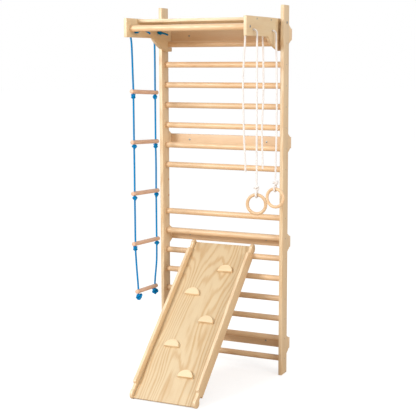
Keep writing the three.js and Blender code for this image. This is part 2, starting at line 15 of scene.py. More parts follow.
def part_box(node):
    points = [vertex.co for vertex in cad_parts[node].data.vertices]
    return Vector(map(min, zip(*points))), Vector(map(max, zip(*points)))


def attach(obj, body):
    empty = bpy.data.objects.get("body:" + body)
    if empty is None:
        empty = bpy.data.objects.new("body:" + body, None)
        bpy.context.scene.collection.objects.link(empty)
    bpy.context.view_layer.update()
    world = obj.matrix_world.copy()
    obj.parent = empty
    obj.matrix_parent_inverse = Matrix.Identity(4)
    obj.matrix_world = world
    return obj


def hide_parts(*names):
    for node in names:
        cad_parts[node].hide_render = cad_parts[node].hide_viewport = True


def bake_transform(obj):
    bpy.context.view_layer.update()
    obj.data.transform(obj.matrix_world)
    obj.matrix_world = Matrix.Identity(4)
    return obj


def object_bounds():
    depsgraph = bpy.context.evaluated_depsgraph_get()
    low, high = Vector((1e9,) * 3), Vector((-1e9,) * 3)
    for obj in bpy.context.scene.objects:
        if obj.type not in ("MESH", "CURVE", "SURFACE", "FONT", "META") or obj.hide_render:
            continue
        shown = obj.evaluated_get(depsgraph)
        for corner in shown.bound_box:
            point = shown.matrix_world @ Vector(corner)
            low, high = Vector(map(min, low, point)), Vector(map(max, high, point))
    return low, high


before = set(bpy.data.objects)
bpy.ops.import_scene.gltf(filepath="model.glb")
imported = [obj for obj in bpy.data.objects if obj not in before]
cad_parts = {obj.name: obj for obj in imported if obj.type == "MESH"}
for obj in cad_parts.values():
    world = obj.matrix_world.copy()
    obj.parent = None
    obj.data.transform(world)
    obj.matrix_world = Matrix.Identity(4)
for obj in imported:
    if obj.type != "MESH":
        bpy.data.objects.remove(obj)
cad_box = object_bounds()

MM = 0.001

# ---- wall bars ----
HALF_WIDTH = 407
POST_WIDTH = 22
RUNG_Y = 48
RUNG_RADIUS = 17.5
LOWEST_RUNG = 94
RUNG_COUNT = 15
BOARD_SCREW_X = 257
BLOCK_FRONT_HEIGHT = 108
BLOCK_BACK_HEIGHT = 74
SPLICE_PLUGS = [(75, 1147), (75, 1048)]

# ---- pull-up unit ----
PANEL_OUTER_X = 376
PANEL_THICKNESS = 18
PANEL_FRONT_Y = -479
PANEL_TOP = 2123
PANEL_FRONT_BOTTOM = 2016
PANEL_LOW_BOTTOM = 1938
PANEL_NOSE_Y = 70
PANEL_JAW_Y = 80
PANEL_REBATE = 9
PANEL_REBATE_Y = -52
TOP_RUNG_Z = 1981.4
ROPE_HOLE_RADIUS = 7
ROPE_HOLE_Z = 2050
ROPE_HOLE_Y = (-385, -102)
BOLT_Y = 48
BOLT_Z = 2100
PANEL_SCREWS = [(-332, 2110), (-121, 2110)]
BAR_BOLT = (-430, 2065)

# ---- screw heads: radius and height of the dome ----
RUNG_SCREW = (3.2, 1.2)
WALL_SCREW = (6, 1.2)
PANEL_SCREW = (5, 1.6)
BAR_BOLT_HEAD = (7.5, 2.6)

# ---- slide, in its own plane: u up the slope from the foot, n square to the deck ----
SLIDE_LENGTH = 1107
SLIDE_HALF_WIDTH = 205
SLIDE_CENTRE_X = -7
SIDE_THICKNESS = 17
SIDE_BOTTOM = -28
RAIL_TOP = 51
NECK_TOP = 31
RAIL_END = 71
DECK_THICKNESS = 12
DECK_FOOT = -8
NOTCH_FROM_END = 52
NOTCH_RADIUS = 18.1
NOTCH_N = -17.8
LOBE_CENTRE = (17, 8)
LOBE_RADIUS = 28
HOLD_RADIUS = 46
HOLD_THICKNESS = 18
HOLD_COUNT = 5
FIRST_HOLD = 156.5
HOLD_PITCH = 184.6
HOLD_MIDDLE_X = 4.5
HOLD_OFFSET_X = 77
SLIDE_RUNG_Z = 708

# ---- ropes, ladder and rings ----
ROPE_DIAMETER = 11
BRAID_STRANDS = 3
BRAID_RATE = 380  # how fast the strands wind round, in radians to a metre
BRAID_DEPTH = 0.07  # how deep the valleys between strands are, as a share of the radius
BRAID_UV_RATE = 60
CORD_SMOOTHING = 60
TIP_ROUNDING = 0.35
LADDER_X = -385.5
LADDER_RUNG_RADIUS = 12.5
LADDER_RUNG_LENGTH = 318
LADDER_RUNG_HEIGHTS = (1700, 1405, 1103, 803, 511)
LADDER_CENTRE_Y = -228
LADDER_HALF_SPACING = 134
LADDER_TILTS = (0.049, 0.049, 0.049, 0.049, 0.089)
LAST_RUNG_TWIST = math.radians(6.7)
KNOT_RADIUS = 13
END_KNOT_RADIUS = 17
KNOT_STEPS = 120
KNOT_CORD = 0.92  # the cord's thickness where it is pulled tight, as a share of the rope's
KNOT_TIGHTNESS = 3.4
KNOT_SHIFTS = {"front": (-2, 3, 1, -2, 4), "rear": (-3, -1, 3, 2, -4)}
KNOT_GAP = 0.8
KNOT_ASIDE = 5
KNOT_STAGGER = -4
STOPPER_KNOT_X = 344
STOPPER_KNOT_SIZE = 3.2
RING_X = 398
RING_CENTRE_Z = 1094
RING_RADIUS = 53
RING_TUBE_RADIUS = 9
RING_TURN = (math.radians(5.7), math.radians(-6.8))
RING_KNOT_Z = 1186
RING_KNOT_ASIDE = 3
RING_KNOT_SIZE = 3.6

# ---- the camera, as the photograph was taken ----
CAMERA_PLACE = (2513.8, -5538.3, 1887.6)
CAMERA_AZIMUTH = math.radians(25.06)
CAMERA_TILT = math.radians(8.06)
CAMERA_ROLL = math.radians(-0.19)
LENS = 87.72
SHIFT = (-0.0012, -0.0111)

# ---- lights: place and aim, size, watts and colour, all in metres; the sky; the floor ----
KEY_LIGHT = ((-2.6, -5.0, 3.4), (0, 0, 1.15), 2.2, 245, (1.0, 0.985, 0.965))
SIDE_LIGHT = ((5.0, -1.8, 2.6), (0, 0, 1.1), 3.0, 108, (1.0, 0.975, 0.94))
HORIZON_LIGHT = 0.45
ZENITH_LIGHT = 0.72
FLOOR_RADIUS = 60
FLOOR_GAP = 0.0005
FLOOR_TONE = 0.52  # where the camera sees the floor
FLOOR_GLOW = 0.66  # its own light there
FLOOR_BOUNCE = (0.54, 0.42, 0.31)  # the colour that it throws on the object

# ---- woods: patterns change this fast along the grain and across it, to a metre ----
FIBRES = (14.0, 520.0, 520.0)
CLOUDS = (3.0, 16.0, 16.0)
RING_WAVER = (2.2, 12.0, 12.0)
VENEER_FIELD = (0.9, 4.6, 4.6)
VENEER_RIPPLE = (4.0, 30.0, 30.0)
# how strong they are, and where in the log a piece is cut from, in metres
FIBRE_CONTRAST = 0.55
CLOUD_CONTRAST = 0.7
RING_SHARPNESS = 1.8
RING_WANDER = 0.013
TONE_SPREAD = 0.07
GLOSS_SPREAD = 0.18
LOG_SHIFTS = (9.0, 0.06, 0.09)
PITH = (0.05, 0.035)
PITH_SKEW = (0, 0.018, 0.026)
PLY_CONTRAST = 0.26
PLY_COLOUR = (253, 240, 216)

# ---- rope routes, the points of part.mjs ----
LADDER_ROPE_FRONT = [
    (-377, -385, 2050), (-381.2, -385, 2049.3), (-384.9, -385, 2047.4), (-387.9, -384.9, 2044.4),
    (-389.6, -384.8, 2040.7), (-389.9, -384.6, 2036.5), (-387, -384, 2022), (-383, -382, 1990),
    (-382.5, -376, 1900), (-384, -369, 1800), (-385.5, -362.6, 1729), (-385.5, -362, 1708.5),
    (-385.5, -362, 1677), (-386, -361, 1560), (-385.5, -362, 1440), (-385.5, -362, 1413),
    (-385.5, -362, 1380), (-386, -360.5, 1260), (-385.5, -362, 1136), (-385.5, -362, 1111),
    (-385.5, -362, 1078), (-386, -361, 956), (-385.5, -362, 839), (-385.5, -362, 811),
    (-385.5, -362, 778), (-380, -360, 664), (-371.5, -361, 560), (-369.9, -361.2, 522),
    (-369.9, -361.2, 490),
]
LADDER_ROPE_REAR = [
    (-377, -102, 2050), (-381.2, -102, 2049.3), (-384.9, -102, 2047.4), (-387.9, -102, 2044.4),
    (-389.6, -101.9, 2040.7), (-389.9, -101.8, 2036.5), (-387, -101.7, 2022), (-383, -101, 1990),
    (-382.5, -99, 1900), (-384, -96.5, 1800), (-385.5, -94.2, 1715), (-385.5, -94, 1694),
    (-385.5, -94, 1661), (-385, -95, 1550), (-385.5, -94, 1426), (-385.5, -94, 1399),
    (-385.5, -94, 1366), (-385, -93, 1250), (-385.5, -94, 1124), (-385.5, -94, 1097),
    (-385.5, -94, 1064), (-385, -95, 946), (-385.5, -94, 824), (-385.5, -94, 797),
    (-385.5, -94, 764), (-387, -95, 660), (-398.5, -95, 545), (-401.1, -94.9, 505),
    (-401.1, -94.9, 470),
]
LADDER_END_FRONT = [
    (-373, -385, 2050), (-366, -385, 2050), (-357, -385, 2049.8), (-344, -385, 2049),
    (-330, -384.6, 2051.5), (-312, -384, 2055), (-294, -383.4, 2054), (-276, -383, 2046.5),
    (-260, -383, 2036.5),
]
LADDER_END_REAR = [
    (-373, -102, 2050), (-366, -102, 2050), (-357, -102, 2049.8), (-344, -102, 2049),
    (-332, -101.6, 2047.4), (-320, -101.2, 2044.6), (-306, -101, 2040.4), (-292, -101, 2034.8),
]
RING_BOWS = (0, 7)
RING_BOW_TOP = 2012
RING_BOW_LENGTH = 832
RING_STRAND = [  # y is counted from the rope hole's
    (377, 0, 2050), (382.4, 0, 2049.3), (387.5, 0, 2047.2), (391.8, 0, 2043.8), (395.2, 0, 2039.5),
    (397.3, 0, 2034.4), (398, 0, 2029), (398, 0, 2012), (398, 0, 1990),
    (398, 0.4, 1900), (398, 0.8, 1780), (398, 0.2, 1640), (398, -0.5, 1500), (398, -0.6, 1360),
    (398, -0.2, 1240), (398, 0, RING_KNOT_Z),
]
RING_TAILS = [
    [
        (373, -385, 2050), (366, -385, 2050), (357, -385, 2050), (348, -385, 2049.8), (341, -385, 2048.4),
        (335.4, -385, 2045), (331.8, -385, 2040), (330.4, -385.2, 2034), (330, -385.4, 2026),
        (328.5, -386, 2000), (324, -386.5, 1930), (319, -387, 1850), (316.5, -387, 1760),
        (317.5, -386, 1640), (320.5, -385, 1520), (323, -384.5, 1440), (326, -384, 1380),
        (329, -383.5, 1325), (330, -383, 1270),
    ],
    [
        (373, -102, 2050), (366, -102, 2050), (357, -102, 2050), (344, -102, 2050), (336, -102, 2049.9),
        (328.5, -102, 2047.6), (322.4, -102, 2043), (318.8, -102.2, 2036.6), (317.5, -102.4, 2028),
        (318, -102.8, 2000), (320, -103, 1920), (322, -103, 1820), (322.5, -103, 1716),
        (320, -102.6, 1620), (316, -102.4, 1540), (314.5, -102.2, 1470), (316, -102, 1390),
        (318.5, -102, 1320), (319, -102, 1259),
    ],
]

rung_low, rung_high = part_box("rung_01")
frame_offset = (rung_low + rung_high) / 2 - Vector((0, RUNG_Y, LOWEST_RUNG)) * MM


def at(x, y, z):
    """A point of the design, in millimetres, as a place in the frame, in metres."""
    return frame_offset + Vector((x, y, z)) * MM


# ---- node graphs ----
class Graph:
    """A short way to write a material's nodes."""

    def __init__(self, tree):
        self.tree = tree

    def node(self, kind, **settings):
        made = self.tree.nodes.new("ShaderNode" + kind)
        for key, value in settings.items():
            setattr(made, key, value)
        return made

    def feed(self, socket, value):
        if isinstance(value, bpy.types.NodeSocket):
            self.tree.links.new(value, socket)
        else:
            socket.default_value = value

    def math(self, operation, a, b=0.0, clamp=False):
        made = self.node("Math", operation=operation, use_clamp=clamp)
        self.feed(made.inputs[0], a)
        self.feed(made.inputs[1], b)
        return made.outputs[0]

    def vector(self, operation, a, b):
        made = self.node("VectorMath", operation=operation)
        self.feed(made.inputs[0], a)
        self.feed(made.inputs[1], b)
        return made.outputs[0]

    def noise(self, vector, scale, detail, roughness=0.55):
        made = self.node("TexNoise")
        self.feed(made.inputs["Vector"], vector)
        made.inputs["Scale"].default_value = scale
        made.inputs["Detail"].default_value = detail
        made.inputs["Roughness"].default_value = roughness
        return made.outputs["Fac"]

    def ramp(self, value, *stops):
        made = self.node("ValToRGB")
        self.feed(made.inputs[0], value)
        elements = made.color_ramp.elements
        while len(elements) < len(stops):
            elements.new(0.5)
        for element, (position, colour) in zip(elements, stops):
            element.position = position
            element.color = (*colour, 1)
        return made.outputs[0]

    def mix(self, factor, a, b):
        made = self.node("Mix", data_type="RGBA")
        self.feed(made.inputs["Factor"], factor)
        self.feed(made.inputs["A"], (*a, 1) if isinstance(a, tuple) else a)
        self.feed(made.inputs["B"], (*b, 1) if isinstance(b, tuple) else b)
        return made.outputs["Result"]

    def bump(self, height, distance, strength):
        made = self.node("Bump")
        self.feed(made.inputs["Height"], height)
        made.inputs["Distance"].default_value = distance
        made.inputs["Strength"].default_value = strength
        return made.outputs["Normal"]


def new_material(name, colour, roughness):
    material = bpy.data.materials.new(name)
    material.use_nodes = True
    graph = Graph(material.node_tree)
    shader = material.node_tree.nodes["Principled BSDF"]
    shader.inputs["Base Color"].default_value = (*colour, 1)
    shader.inputs["Roughness"].default_value = roughness
    return material, shader, graph


def srgb(red, green, blue):
    """A colour given in 0 to 255 steps, as linear light."""
    def linear(step):
        value = step / 255
        return value / 12.92 if value <= 0.04045 else ((value + 0.055) / 1.055) ** 2.4
    return (linear(red), linear(green), linear(blue))


# ---- camera, floor and light ----
def make_camera():
    data = bpy.data.cameras.new("camera")
    camera = bpy.data.objects.new("camera", data)
    bpy.context.collection.objects.link(camera)
    data.sensor_width = 36
    data.lens = LENS
    data.shift_x, data.shift_y = SHIFT
    data.clip_end = 200
    forward = Vector((
        -math.sin(CAMERA_AZIMUTH) * math.cos(CAMERA_TILT),
        math.cos(CAMERA_AZIMUTH) * math.cos(CAMERA_TILT),
        -math.sin(CAMERA_TILT),
    ))
    level = Vector((math.cos(CAMERA_AZIMUTH), math.sin(CAMERA_AZIMUTH), 0))
    upright = level.cross(forward)
    right = level * math.cos(CAMERA_ROLL) + upright * math.sin(CAMERA_ROLL)
    up = upright * math.cos(CAMERA_ROLL) - level * math.sin(CAMERA_ROLL)
    turn = Matrix((right, up, -forward)).transposed().to_4x4()
    camera.matrix_world = Matrix.Translation(at(*CAMERA_PLACE)) @ turn
    bpy.context.scene.camera = camera


def area_light(name, place, aim, size, power, colour):
    data = bpy.data.lights.new(name, "AREA")
    data.shape = "DISK"
    data.size = size
    data.energy = power
    data.color = colour
    light = bpy.data.objects.new(name, data)
    bpy.context.collection.objects.link(light)
    light.location = Vector(place)
    light.rotation_euler = (Vector(aim) - Vector(place)).to_track_quat("-Z", "Y").to_euler()


def make_light():
    """Two soft lights, and a sky that is brighter overhead. Behind the object the sky shows white."""
    area_light("key", *KEY_LIGHT)
    area_light("side", *SIDE_LIGHT)
    world = bpy.data.worlds.new("studio")
    bpy.context.scene.world = world
    world.use_nodes = True
    graph = Graph(world.node_tree)
    split = graph.node("SeparateXYZ")
    graph.feed(split.inputs[0], graph.node("TexCoord").outputs["Generated"])
    sky = graph.node("MapRange")
    graph.feed(sky.inputs["Value"], split.outputs[2])
    sky.inputs["To Min"].default_value = HORIZON_LIGHT
    sky.inputs["To Max"].default_value = ZENITH_LIGHT
    seen = graph.node("MapRange")
    graph.feed(seen.inputs["Value"], graph.node("LightPath").outputs["Is Camera Ray"])
    graph.feed(seen.inputs["To Min"], sky.outputs[0])
    seen.inputs["To Max"].default_value = 1.0
    background = world.node_tree.nodes["Background"]
    background.inputs["Color"].default_value = (1, 1, 1, 1)
    graph.feed(background.inputs["Strength"], seen.outputs[0])


def make_floor():
    """A pale floor that throws warm light on the object, and shows white round it."""
    bpy.ops.mesh.primitive_circle_add(vertices=96, radius=FLOOR_RADIUS, fill_type="NGON")
    floor = bpy.context.active_object
    floor.name = "floor"
    floor.location = (0, 0, cad_box[0].z - FLOOR_GAP)
    material, shader, graph = new_material("floor", (FLOOR_TONE,) * 3, 0.9)
    seen = graph.node("LightPath").outputs["Is Camera Ray"]
    graph.feed(shader.inputs["Base Color"], graph.mix(seen, FLOOR_BOUNCE, (FLOOR_TONE,) * 3))
    glow = graph.math("MULTIPLY", seen, FLOOR_GLOW)
    shader.inputs["Emission Color"].default_value = (1, 1, 1, 1)
    graph.feed(shader.inputs["Emission Strength"], glow)
    floor.data.materials.append(material)


# ---- materials ----
def grain_coordinates(graph):
    """The piece's own coordinates, shifted so that no two pieces are cut from the same place in the log."""
    place = graph.node("Attribute", attribute_name="grain").outputs["Vector"]
    chance = graph.node("ObjectInfo").outputs["Random"]
    shift = graph.node("CombineXYZ")
    for axis, reach in enumerate(LOG_SHIFTS):
        graph.feed(shift.inputs[axis], graph.math("MULTIPLY", chance, reach))
    return graph.vector("ADD", place, shift.outputs[0]), place, chance


def growth_rings(graph, place, ring):
    """The phase of the growth rings round a pith beside the piece, a little askew to its length."""
    tilt = graph.node("Mapping")
    graph.feed(tilt.inputs["Vector"], place)
    tilt.inputs["Location"].default_value = (0, *PITH)
    tilt.inputs["Rotation"].default_value = PITH_SKEW
    split = graph.node("SeparateXYZ")
    graph.feed(split.inputs[0], tilt.outputs[0])
    squares = [graph.math("POWER", split.outputs[axis], 2.0) for axis in (1, 2)]
    reach = graph.math("SQRT", graph.math("ADD", *squares))
    wander = graph.noise(graph.vector("MULTIPLY", place, RING_WAVER), 1.0, 3.0)
    reach = graph.math("ADD", reach, graph.math("MULTIPLY", wander, RING_WANDER))
    return graph.math("MULTIPLY", reach, 2 * math.pi / ring)


def veneer_figure(graph, place):
    """The phase of the wandering lines on a peeled veneer."""
    field = graph.noise(graph.vector("MULTIPLY", place, VENEER_FIELD), 1.0, 2.0, 0.4)
    ripple = graph.noise(graph.vector("MULTIPLY", place, VENEER_RIPPLE), 1.0, 3.0)
    across = graph.node("SeparateXYZ")
    graph.feed(across.inputs[0], place)
    phase = graph.math("ADD", graph.math("MULTIPLY", field, 100.0), graph.math("MULTIPLY", ripple, 7.0))
    return graph.math("ADD", phase, graph.math("MULTIPLY", across.outputs[1], 190.0))


def ply_bands(graph, own_place, ply, colour):
    """Pale layers along the edges of a plywood. They fade out at its two faces."""
    layers = graph.node("SeparateXYZ")
    graph.feed(layers.inputs[0], own_place)
    band = graph.math("COSINE", graph.math("MULTIPLY", layers.outputs[2], 2 * math.pi / ply))
    band = graph.math("MULTIPLY", graph.math("SUBTRACT", 1.0, band), PLY_CONTRAST, clamp=True)
    return graph.mix(band, colour, srgb(*PLY_COLOUR))


def wood(name, pale, dark, ring=None, contrast=0.55, roughness=0.45, ply=None):
    """Sawn softwood, turned beech, or a veneer. The grain runs along the piece's own X axis.

    ring is the spacing of the growth rings, in metres, and a wood without one is a peeled veneer. ply is
    the thickness of two layers of a plywood, in metres.
    """
    material, shader, graph = new_material(name, pale, roughness)
    place, own_place, chance = grain_coordinates(graph)
    phase = growth_rings(graph, place, ring) if ring else veneer_figure(graph, place)
    waves = graph.math("ADD", graph.math("MULTIPLY", graph.math("SINE", phase), 0.5), 0.5)
    rings = graph.math("POWER", waves, RING_SHARPNESS)
    fibres = graph.noise(graph.vector("MULTIPLY", place, FIBRES), 1.0, 3.0, 0.6)
    clouds = graph.noise(graph.vector("MULTIPLY", place, CLOUDS), 1.0, 2.0)
    fibre_tone = graph.math("MULTIPLY", graph.math("SUBTRACT", fibres, 0.5), FIBRE_CONTRAST)
    cloud_tone = graph.math("MULTIPLY", graph.math("SUBTRACT", clouds, 0.5), CLOUD_CONTRAST)
    depth = graph.math("ADD", graph.math("MULTIPLY", rings, contrast), fibre_tone)
    depth = graph.math("ADD", depth, cloud_tone, clamp=True)
    colour = graph.mix(depth, pale, dark)
    if ply:
        colour = ply_bands(graph, own_place, ply, colour)
    shade = graph.node("HueSaturation")
    graph.feed(shade.inputs["Color"], colour)
    value = graph.math("ADD", graph.math("MULTIPLY", chance, 2 * TONE_SPREAD), 1 - TONE_SPREAD)
    graph.feed(shade.inputs["Value"], value)
    graph.feed(shader.inputs["Base Color"], shade.outputs[0])
    gloss = graph.math("ADD", graph.math("MULTIPLY", fibres, GLOSS_SPREAD), roughness - GLOSS_SPREAD / 2)
    graph.feed(shader.inputs["Roughness"], gloss)
    relief = graph.math("ADD", graph.math("MULTIPLY", fibres, 0.7), graph.math("MULTIPLY", rings, -0.3))
    graph.feed(shader.inputs["Normal"], graph.bump(relief, 0.00025, 0.6))
    shader.inputs["Coat Weight"].default_value = 0.12
    shader.inputs["Coat Roughness"].default_value = 0.35
    return material


def rope(name, colour, shadow, fleck):
    """A braided cord. Its UV map runs round the cord and along it, one unit to a crossing."""
    material, shader, graph = new_material(name, colour, 0.75)
    uv = graph.node("UVMap").outputs[0]
    split = graph.node("SeparateXYZ")
    graph.feed(split.inputs[0], uv)
    ridges = []
    for lay in ("ADD", "SUBTRACT"):
        turn = graph.math(lay, split.outputs[0], split.outputs[1])
        wave = graph.math("SINE", graph.math("MULTIPLY", turn, 2 * math.pi))
        ridges.append(graph.math("ABSOLUTE", wave))
    strands = graph.math("MAXIMUM", *ridges)
    yarn = graph.noise(graph.vector("MULTIPLY", uv, (30.0, 9.0, 1.0)), 1.0, 2.0)
    height = graph.math("ADD", strands, graph.math("MULTIPLY", yarn, 0.35))
    tone = graph.math("MULTIPLY", graph.math("SUBTRACT", height, 0.35), 1.1, clamp=True)
    braid = graph.mix(tone, shadow, colour)
    wear = graph.noise(graph.node("TexCoord").outputs["Object"], 180.0, 3.0)
    wear = graph.math("MULTIPLY", graph.math("SUBTRACT", wear, 0.45), 0.8, clamp=True)
    graph.feed(shader.inputs["Base Color"], graph.mix(wear, braid, fleck))
    graph.feed(shader.inputs["Normal"], graph.bump(height, 0.0006, 0.7))
    shader.inputs["Sheen Weight"].default_value = 0.03
    shader.inputs["Specular IOR Level"].default_value = 0.12
    return material


def zinc_steel():
    material, shader, graph = new_material("zinc_steel", srgb(176, 180, 184), 0.34)
    place = graph.node("TexCoord").outputs["Object"]
    spangle = graph.noise(place, 900.0, 3.0)
    colour = graph.ramp(spangle, (0.3, srgb(140, 144, 148)), (0.7, srgb(196, 200, 204)))
    graph.feed(shader.inputs["Base Color"], colour)
    graph.feed(shader.inputs["Roughness"], graph.math("ADD", graph.math("MULTIPLY", spangle, 0.3), 0.2))
    shader.inputs["Metallic"].default_value = 1.0
    return material


def make_materials():
    return {
        "post": wood("post_pine", srgb(243, 220, 184), srgb(214, 168, 112), ring=0.005, contrast=0.5),
        "board": wood("board_pine", srgb(246, 220, 186), srgb(216, 164, 108), ring=0.006, contrast=0.45),
        "rung": wood("rung_beech", srgb(239, 209, 171), srgb(218, 162, 106), ring=0.003, contrast=0.4,
                     roughness=0.36),
        "panel": wood("panel_birch", srgb(242, 219, 180), srgb(208, 162, 104), ring=0.006, contrast=0.45,
                      ply=0.003),
        "deck": wood("deck_veneer", srgb(226, 204, 166), srgb(194, 150, 94), contrast=0.5),
        "rail": wood("rail_pine", srgb(244, 217, 176), srgb(208, 158, 100), ring=0.005, contrast=0.45,
                     ply=SIDE_THICKNESS / 6 * MM),
        "hold": wood("hold_birch", srgb(243, 222, 186), srgb(220, 182, 132), ring=0.003, contrast=0.5),
        "ladder": wood("ladder_beech", srgb(236, 198, 172), srgb(204, 150, 120), ring=0.003, contrast=0.4),
        "plug": wood("plug_wood", srgb(214, 158, 98), srgb(184, 122, 66), ring=0.002),
        "blue": rope("blue_rope", srgb(0, 146, 212), srgb(0, 98, 168), srgb(16, 160, 222)),
        "white": rope("white_rope", srgb(250, 248, 247), srgb(216, 212, 212), srgb(255, 253, 250)),
        "steel": zinc_steel(),
    }


# ---- mesh helpers ----
def finish_mesh(mesh, angle=32):
    mesh.polygons.foreach_set("use_smooth", [True] * len(mesh.polygons))
    mesh.set_sharp_from_angle(angle=math.radians(angle))


def as_object(name, mesh, material):
    made = bpy.data.objects.new(name, mesh)
    bpy.context.collection.objects.link(made)
    mesh.materials.clear()
    mesh.materials.append(material)
    return made


def from_bmesh(name, bm, material, angle=32):
    bmesh.ops.recalc_face_normals(bm, faces=bm.faces)
    mesh = bpy.data.meshes.new(name)
    bm.to_mesh(mesh)
    bm.free()
    finish_mesh(mesh, angle)
    return as_object(name, mesh, material)


def place(made, origin, along, across, body, slot, *nodes):
    """Puts a piece with its own X along `along` and its own Y along `across`, and gives it to a body.

    Its own coordinates stay in the mesh as the attribute "grain", which the wood is drawn from.
    """
    x = Vector(along).normalized()
    z = x.cross(Vector(across)).normalized()
    y = z.cross(x)
    turn = Matrix((x, y, z)).transposed().to_4x4()
    mesh = made.data
    grain = mesh.attributes.new("grain", "FLOAT_VECTOR", "POINT")
    for vertex, own in zip(mesh.vertices, grain.data):
        own.vector = vertex.co
    mesh.transform(Matrix.Translation(origin) @ turn)
    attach(made, body)
    if nodes:
        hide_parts(*nodes)


def rounded_bar(name, size, radius, material):
    """A planed bar of wood, its long edges eased."""
    bm = bmesh.new()
    bmesh.ops.create_cube(bm, size=1.0)
    bmesh.ops.scale(bm, vec=Vector(size) * MM, verts=bm.verts)
    bmesh.ops.bevel(
        bm, geom=bm.edges[:], offset=radius * MM, segments=3, profile=0.5, affect="EDGES")
    return from_bmesh(name, bm, material)


def bridge(bm, before, after):
    """A band of faces between two rings of vertices."""
    for i in range(len(before)):
        j = (i + 1) % len(before)
        bm.faces.new((before[i], before[j], after[j], after[i]))


def turned(name, profile, material, sides=48):
    """A piece turned round its own X axis. The profile is (x, radius) in millimetres, end to end."""
    bm = bmesh.new()
    rings = []
    for x, radius in profile:
        ring = [
            bm.verts.new(Vector((x, radius * math.cos(angle), radius * math.sin(angle))) * MM)
            for angle in (2 * math.pi * i / sides for i in range(sides))
        ]
        rings.append(ring)
    for before, after in zip(rings, rings[1:]):
        bridge(bm, before, after)
    bm.faces.new(reversed(rings[0]))
    bm.faces.new(rings[-1])
    return from_bmesh(name, bm, material)


def dowel_profile(length, radius, easing):
    """A round stick with eased ends."""
    half = length / 2
    rise = [
        (half - easing + easing * math.sin(angle), radius - easing + easing * math.cos(angle))
        for angle in (math.pi / 2 * i / 4 for i in range(5))
    ]
    return [(-x, r) for x, r in reversed(rise)] + rise


def arc(centre, radius, start, end, steps):
    """Points on a circle from one angle to another, in radians."""
    angles = [start + (end - start) * i / steps for i in range(steps + 1)]
    return [(centre[0] + radius * math.cos(a), centre[1] + radius * math.sin(a)) for a in angles]


def bend(start, middle, end, steps=12):
    """Points on a smooth curve that leaves start and meets end, pulled towards middle."""
    points = []
    for i in range(steps + 1):
        t = i / steps
        points.append(tuple(
            (1 - t) ** 2 * a + 2 * t * (1 - t) * b + t * t * c for a, b, c in zip(start, middle, end)))
    return points


def plate(name, outlines, thickness, easing, material):
    """A flat plate cut to an outline, with holes, its edges eased. It lies in its own XY plane."""
    data = bpy.data.curves.new(name, "CURVE")
    data.dimensions = "2D"
    data.fill_mode = "BOTH"
    for outline in outlines:
        spline = data.splines.new("POLY")
        spline.points.add(len(outline) - 1)
        for point, (x, y) in zip(spline.points, outline):
            point.co = (x * MM, y * MM, 0, 1)
        spline.use_cyclic_u = True
    data.extrude = (thickness / 2 - easing) * MM
    data.bevel_depth = easing * MM
    data.bevel_resolution = 2
    data.offset = -easing * MM
    source = bpy.data.objects.new(name, data)
    mesh = bpy.data.meshes.new_from_object(source)
    bpy.data.objects.remove(source)
    bpy.data.curves.remove(data)
    bm = bmesh.new()
    bm.from_mesh(mesh)
    bmesh.ops.remove_doubles(bm, verts=bm.verts, dist=1e-6)
    bmesh.ops.dissolve_limit(bm, angle_limit=math.radians(0.5), verts=bm.verts, edges=bm.edges)
    bpy.data.meshes.remove(mesh)
    return from_bmesh(name, bm, material, 25)


def cut_away(made, low, high):
    """Cuts a block out of a piece. The corners are in the piece's own millimetres."""
    bm = bmesh.new()
    bmesh.ops.create_cube(bm, size=1.0)
    size = Vector(high) - Vector(low)
    middle = (Vector(high) + Vector(low)) / 2
    bmesh.ops.scale(bm, vec=size * MM, verts=bm.verts)
    bmesh.ops.translate(bm, vec=middle * MM, verts=bm.verts)
    mesh = bpy.data.meshes.new("cutter")
    bm.to_mesh(mesh)
    bm.free()
    cutter = bpy.data.objects.new("cutter", mesh)
    bpy.context.collection.objects.link(cutter)
    modifier = made.modifiers.new("cut", "BOOLEAN")
    modifier.operation = "DIFFERENCE"
    modifier.solver = "EXACT"
    modifier.object = cutter
    graph = bpy.context.evaluated_depsgraph_get()
    result = bpy.data.meshes.new_from_object(made.evaluated_get(graph))
    made.modifiers.clear()
    before = made.data
    made.data = result
    bpy.data.meshes.remove(before)
    bpy.data.objects.remove(cutter)
    bpy.data.meshes.remove(mesh)
    finish_mesh(result, 25)


# ---- screws ----
def screw_head(bm, centre, normal, radius, height):
    """A domed countersunk head with a cross recess, added to bm. Sizes in millimetres."""
    normal = Vector(normal)
    side = normal.orthogonal().normalized()
    other = normal.cross(side)
    sides = 20
    rings = []
    for share, lift in ((1.0, -0.6), (1.0, 0.15), (0.86, 0.55), (0.55, 0.85), (0.5, 0.45)):
        ring = []
        for i in range(sides):
            angle = 2 * math.pi * i / sides
            pinch = 1.0
            if share <= 0.55:
                pinch = 0.35 + 0.65 * abs(math.cos(2 * angle)) ** 3
            reach = radius * share * pinch
            out = side * math.cos(angle) + other * math.sin(angle)
            ring.append(bm.verts.new(centre + (out * reach + normal * (lift * height)) * MM))
        rings.append(ring)
    for before, after in zip(rings, rings[1:]):
        bridge(bm, before, after)
    bm.faces.new(rings[-1])
    bm.faces.new(reversed(rings[0]))


def screws(name, places, normal, radius, height, material):
    bm = bmesh.new()
    for spot in places:
        screw_head(bm, at(*spot), normal, radius, height)
    made = from_bmesh(name, bm, material)
    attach(made, "wall_bars")


# ---- wall bars ----
def node_centre(name):
    low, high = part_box(name)
    return (low + high) / 2, (high - low) / MM


def make_rungs(look):
    for i in range(RUNG_COUNT):
        name = f"rung_{i + 1:02d}"
        centre, size = node_centre(name)
        made = turned("wood_" + name, dowel_profile(size.x, RUNG_RADIUS, 2), look["rung"])
        place(made, centre, (1, 0, 0), (0, math.cos(i), math.sin(i)), "wall_bars", "beech", name)


